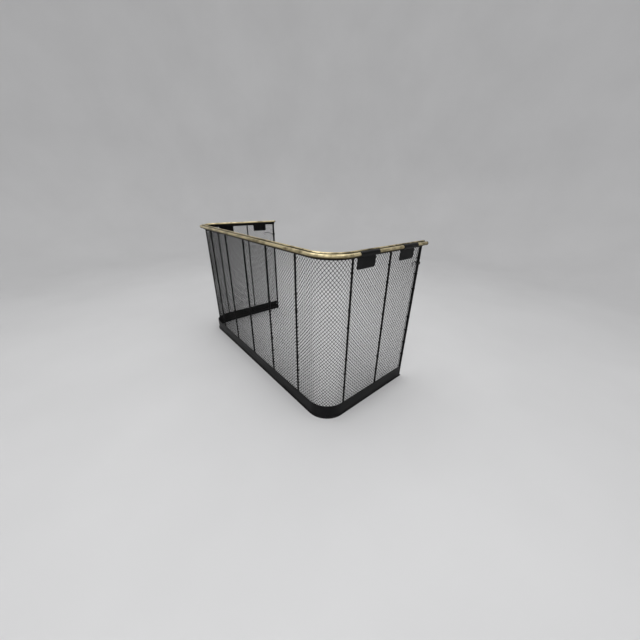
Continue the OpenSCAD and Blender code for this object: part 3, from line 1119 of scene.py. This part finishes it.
def plate_rows(settings):
    """Rows along a plate's rolled sheet: the place in section, the direction of the side that
    faces the hinge axis, and how far the row stops short of the plate's sides."""
    middle = settings.knuckle + settings.sheet / 2
    corner = settings.plate_corner
    lengths = [corner * (1 - math.cos(math.pi / 2 * i / 8)) for i in range(9)]
    lengths += [corner + (settings.plate_length - corner) * i / 6 for i in range(1, 7)]
    rows = []
    for length in lengths:
        short = max(0.0, corner - length)
        inset = corner - math.sqrt(max(0.0, corner**2 - short**2))
        rows.append(((-middle, length - settings.plate_length), (1, 0), inset))
    bends = 30
    wrap = math.radians(318)
    for i in range(1, bends + 1):
        turn = math.pi - wrap * i / bends
        across = (math.cos(turn), math.sin(turn))
        rows.append(((middle * across[0], middle * across[1]), (-across[0], -across[1]), 0.0))
    return rows


def roll_plate(settings, rows, axis, half):
    """A plate rolled round its hinge axis and reaching half its width to each side."""
    # The flat leaf is uneven by up to this much, which fades in over this far from the knuckle
    most_bulge = 0.0003
    fade = 0.02
    columns = 10
    middle = settings.knuckle + settings.sheet / 2
    lean = settings.plate_lean
    out = Vector((math.copysign(1, axis.x), 0, 0))
    across = math.cos(lean) * out - Vector((0, 0, math.sin(lean)))
    up = math.sin(lean) * out + Vector((0, 0, math.cos(lean)))
    stock = Stock()
    rings = []
    for (u, v), (nu, nv), inset in rows:
        points = []
        for face in (-1, 1):
            order = range(columns + 1) if face < 0 else range(columns, -1, -1)
            deep = face * settings.sheet / 2
            for i in order:
                y = (half - inset) * (2 * i / columns - 1)
                spot = Vector((axis.x * 9, (axis.y + y) * 30, v * 40))
                bulge = most_bulge * noise.noise(spot) * min(1.0, max(0.0, -v - middle) / fade)
                du = u - deep * nu + bulge
                dv = v - deep * nv
                points.append(axis + du * across + dv * up + Vector((0, y, 0)))
        rings.append(stock.ring(points))
    stock.skin(rings, 2 * (columns + 1))
    return stock


class FIREGUARD_OT_hinged_plates(Operator):
    """Roll the four sheet plates round the outer rail"""

    bl_idname = "fireguard.hinged_plates"
    bl_label = "Roll Hinged Plates"

    def execute(self, context):
        settings = context.scene.fireguard_iron
        finish = finish_of(stove_black, "stove_black_plate", settings.colour)
        rows = plate_rows(settings)
        for joint in frame["joints"]:
            body = joint["child"]
            if not body.endswith("_plate"):
                continue
            side, place, _ = body.split("_")
            node = f"plate_{side}_{place}"
            low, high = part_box(node)
            stock = roll_plate(settings, rows, Vector(joint["pos_m"]), (high.y - low.y) / 2)
            stock.piece(f"rolled_{node}", finish, "black_sheet", body, [node], smooth=40)
        return {"FINISHED"}


class FIREGUARD_OT_wall_hooks(Operator):
    """Give the two wall hooks their worn wire"""

    bl_idname = "fireguard.wall_hooks"
    bl_label = "Finish Wall Hooks"

    def execute(self, context):
        finish = finish_of(hook_wire, "rubbed_wire", context.scene.fireguard_iron.hook_colour)
        dress(finish, "hook_left", "hook_right")
        return {"FINISHED"}


# Studio


class FIREGUARD_OT_studio(Operator):
    """Set the floor, the lamps and the camera"""

    bl_idname = "fireguard.studio"
    bl_label = "Set Studio"

    def execute(self, context):
        settings = context.scene.fireguard_studio
        self.lay_floor(settings)
        self.hang_lamps(context.scene, settings)
        self.stand_camera(context.scene, settings)
        context.scene.view_settings.view_transform = "Standard"
        return {"FINISHED"}

    def lay_floor(self, settings):
        """A round floor that turns up into a backdrop on all sides, and a dome over it."""
        finish = finish_of(studio_floor, "studio_floor", settings.floor)
        reach = settings.reach
        bend = 1.6
        wide = reach + bend
        wall_top = 4.4
        dome_foot = 5.0
        floor = [(reach * i / 5, 0.0) for i in range(1, 6)]
        floor += arc((reach, bend), bend, -math.pi / 2, math.pi / 2, 12)[1:]
        floor.append((wide, wall_top))
        self.turned("studio_floor", 0.0, floor, finish)
        # The dome closes the backdrop to the eye, and lets the sky's light through
        vault = arc((0.0, dome_foot), wide, math.pi / 2, -math.pi / 2, 16)[1:]
        vault.append((wide, wall_top))
        dome = self.turned("studio_dome", dome_foot + wide, vault, finish)
        dome.visible_diffuse = False
        dome.visible_glossy = False
        dome.visible_transmission = False
        dome.visible_shadow = False

    def turned(self, name, middle_z, profile, finish):
        """A stage piece turned about the upright axis: its middle, then (radius, z) outwards."""
        around = 96
        points = [(0, 0, middle_z)]
        for r, z in profile:
            for k in range(around):
                turn = 2 * math.pi * k / around
                points.append((r * math.cos(turn), r * math.sin(turn), z))
        faces = [(0, 1 + k, 1 + (k + 1) % around) for k in range(around)]
        for i in range(len(profile) - 1):
            a, b = 1 + i * around, 1 + (i + 1) * around
            for k in range(around):
                j = (k + 1) % around
                faces.append((a + k, b + k, b + j, a + j))
        made = formed(name, points, faces, finish)
        return made

    def hang_lamps(self, scene, settings):
        # Name, power, diameter, place, and the point that each one is aimed at
        lamps = (
            ("top_lamp", settings.top_lamp, 4.2, (0.3, -0.4, 2.7), (0.0, 0.0, 0.2)),
            ("side_lamp", settings.side_lamp, 2.6, (2.4, -1.9, 1.9), (0.2, -0.1, 0.4)),
        )
        for name, power, size, stand, target in lamps:
            lamp = bpy.data.lights.new(name, "AREA")
            lamp.energy = power
            lamp.shape = "DISK"
            lamp.size = size
            made = bpy.data.objects.new(name, lamp)
            made.location = stand
            aim = Vector(target) - Vector(stand)
            made.rotation_euler = aim.to_track_quat("-Z", "Y").to_euler()
            made.visible_camera = False
            scene.collection.objects.link(made)
        world = bpy.data.worlds.new("studio_sky")
        world.use_nodes = True
        sky = world.node_tree.nodes["Background"]
        sky.inputs["Color"].default_value = (1, 1, 1, 1)
        sky.inputs["Strength"].default_value = settings.sky
        scene.world = world

    def stand_camera(self, scene, settings):
        lens = bpy.data.cameras.new("camera")
        lens.sensor_width = 36
        lens.lens = settings.lens
        lens.clip_start = 0.01
        camera = bpy.data.objects.new("camera", lens)
        turn = Matrix.Rotation(settings.heading, 4, "Z")
        tilt = Matrix.Rotation(math.pi / 2 - settings.dip, 4, "X")
        roll = Matrix.Rotation(settings.roll, 4, "Z")
        camera.matrix_world = Matrix.Translation(settings.stand) @ turn @ tilt @ roll
        scene.collection.objects.link(camera)
        scene.camera = camera


# Panel

STEPS = (
    "weave_net", "bind_net", "brass_rails", "skirt", "ironwork", "hinged_plates", "wall_hooks",
    "studio",
)
SETTINGS = {
    "fireguard_net": NetSettings,
    "fireguard_rails": RailSettings,
    "fireguard_iron": IronSettings,
    "fireguard_studio": StudioSettings,
}


class FIREGUARD_PT_panel(Panel):
    """Sizes, colours and steps of the fire guard"""

    bl_idname = "FIREGUARD_PT_panel"
    bl_label = "Fire Guard"
    bl_space_type = "VIEW_3D"
    bl_region_type = "UI"
    bl_category = "Fire Guard"

    def draw(self, context):
        for group, kind in SETTINGS.items():
            box = self.layout.box()
            for name in kind.__annotations__:
                box.prop(getattr(context.scene, group), name)
        for step in STEPS:
            self.layout.operator(f"fireguard.{step}")


CLASSES = (
    *SETTINGS.values(),
    FIREGUARD_OT_weave_net,
    FIREGUARD_OT_bind_net,
    FIREGUARD_OT_brass_rails,
    FIREGUARD_OT_skirt,
    FIREGUARD_OT_ironwork,
    FIREGUARD_OT_hinged_plates,
    FIREGUARD_OT_wall_hooks,
    FIREGUARD_OT_studio,
    FIREGUARD_PT_panel,
)


def register():
    for kind in CLASSES:
        bpy.utils.register_class(kind)
    for group, kind in SETTINGS.items():
        setattr(bpy.types.Scene, group, PointerProperty(type=kind))


def unregister():
    for group in SETTINGS:
        delattr(bpy.types.Scene, group)
    for kind in reversed(CLASSES):
        bpy.utils.unregister_class(kind)


def main():
    register()
    for step in STEPS:
        getattr(bpy.ops.fireguard, step)()


if __name__ == "__main__":
    main()
